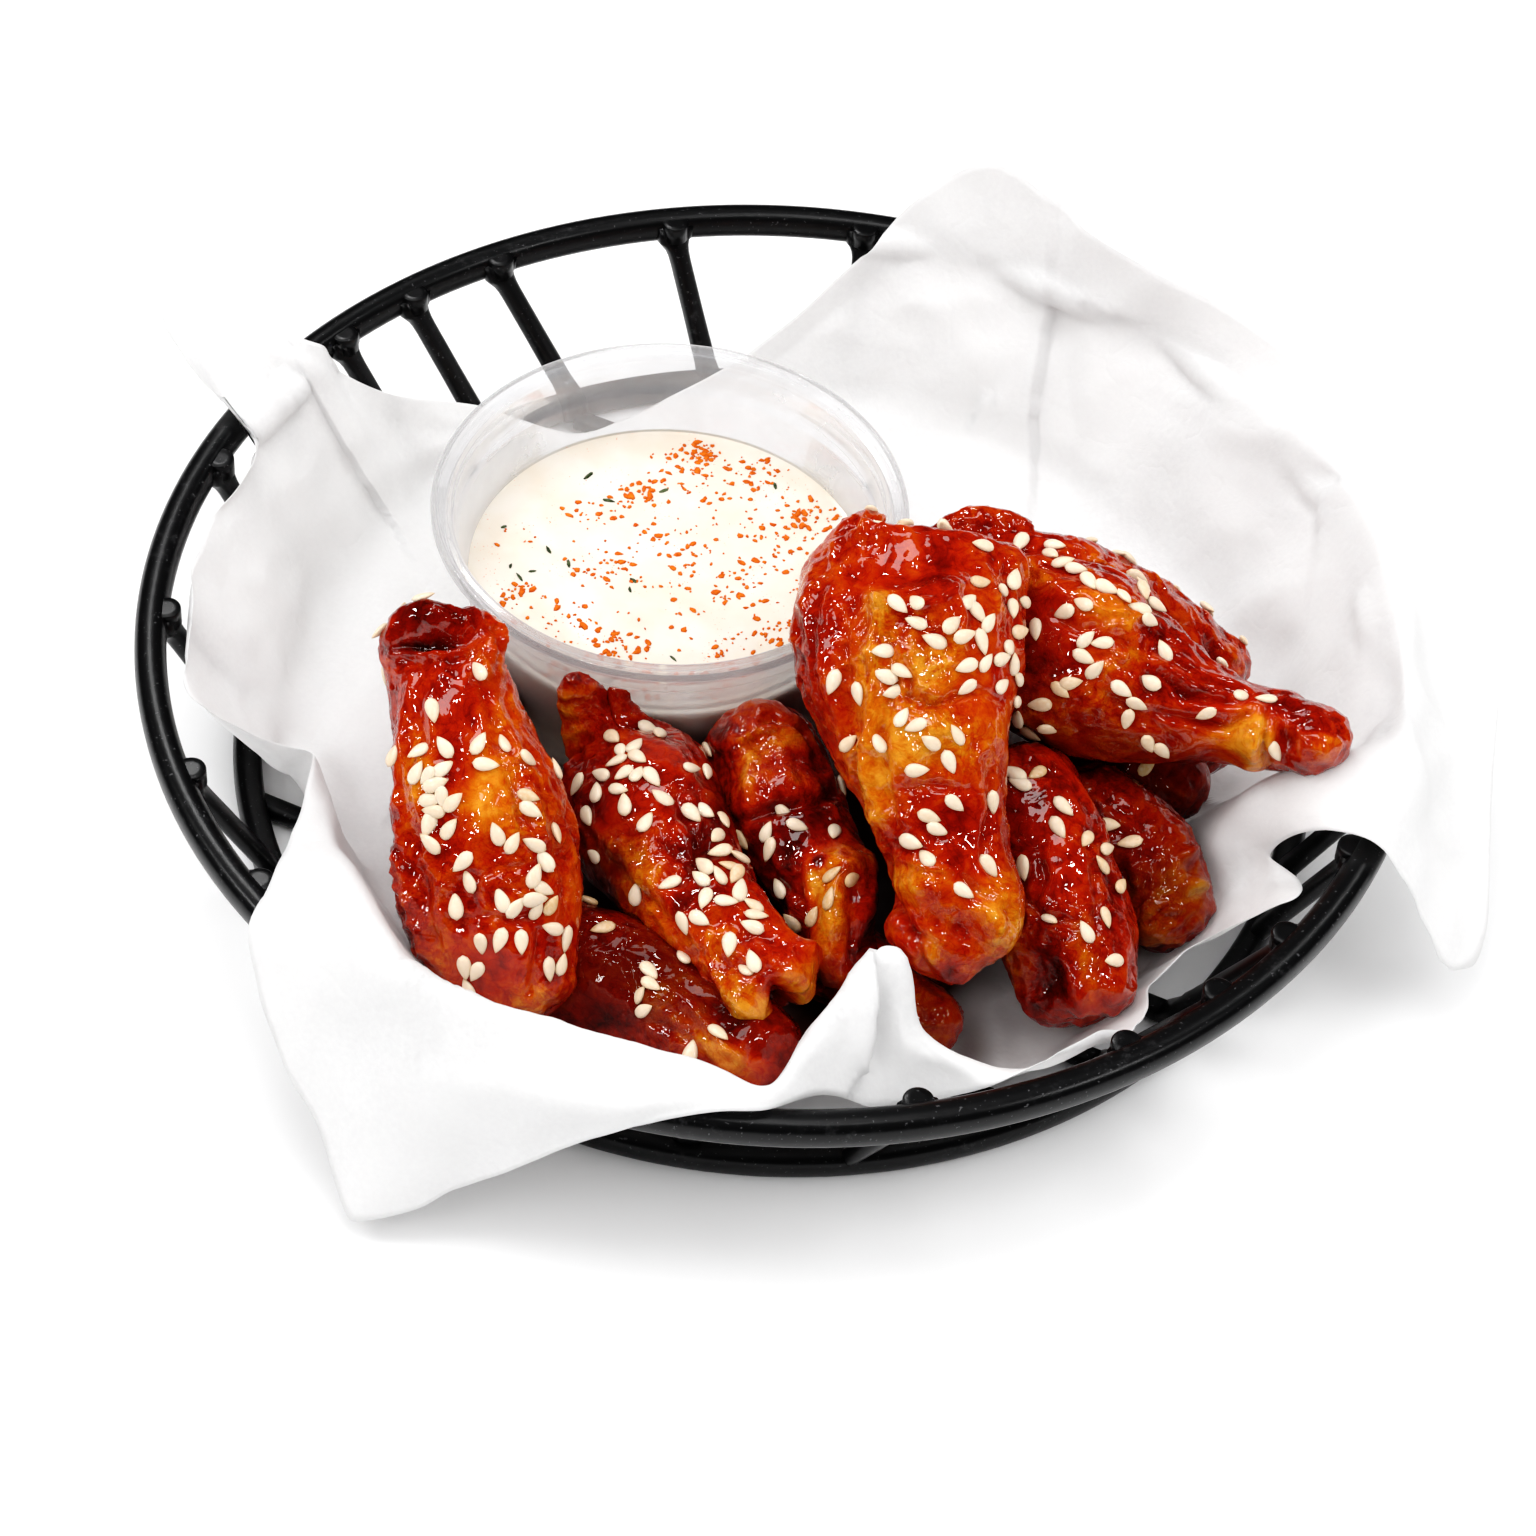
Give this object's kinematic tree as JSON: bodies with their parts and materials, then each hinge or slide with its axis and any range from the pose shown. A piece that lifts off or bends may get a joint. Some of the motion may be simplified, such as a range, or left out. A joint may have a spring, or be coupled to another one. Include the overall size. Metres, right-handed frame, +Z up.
{
  "type": "chicken wings serving",
  "caption": "Glazed chicken wings with sesame seeds in a round rib basket lined with wax paper, with a clear cup of white dip.",
  "frame": {"origin": "centre of the basket's underside, on the surface that it stands on", "axes": "+Z up; -Y is the side that the wings are heaped towards; the cup stands towards -X and +Y"},
  "size_m": [0.216, 0.2032, 0.0616],
  "materials": {
    "basket": "glossy black plastic, scuffed",
    "paper": null,
    "cup": "clear thin plastic",
    "dip": "creamy white dip with paprika and herb flecks",
    "wing": "fried skin under a red glaze, with cream sesame seeds"
  },
  "bodies": {
    "root": {"basket": "basket", "paper_liner": "paper", "dip_cup": "cup", "ranch_dip": "dip", "wing_left_tall": "wing", "wing_front_left": "wing", "wing_front_low": "wing", "wing_centre": "wing", "wing_centre_big": "wing", "wing_right_long": "wing", "wing_back_right": "wing", "wing_front_right": "wing", "wing_right_low": "wing", "wing_right_under": "wing", "wing_front_under": "wing", "wing_left_bottom": "wing", "wing_centre_bottom": "wing", "wing_right_bottom": "wing"}
  },
  "joints": []
}
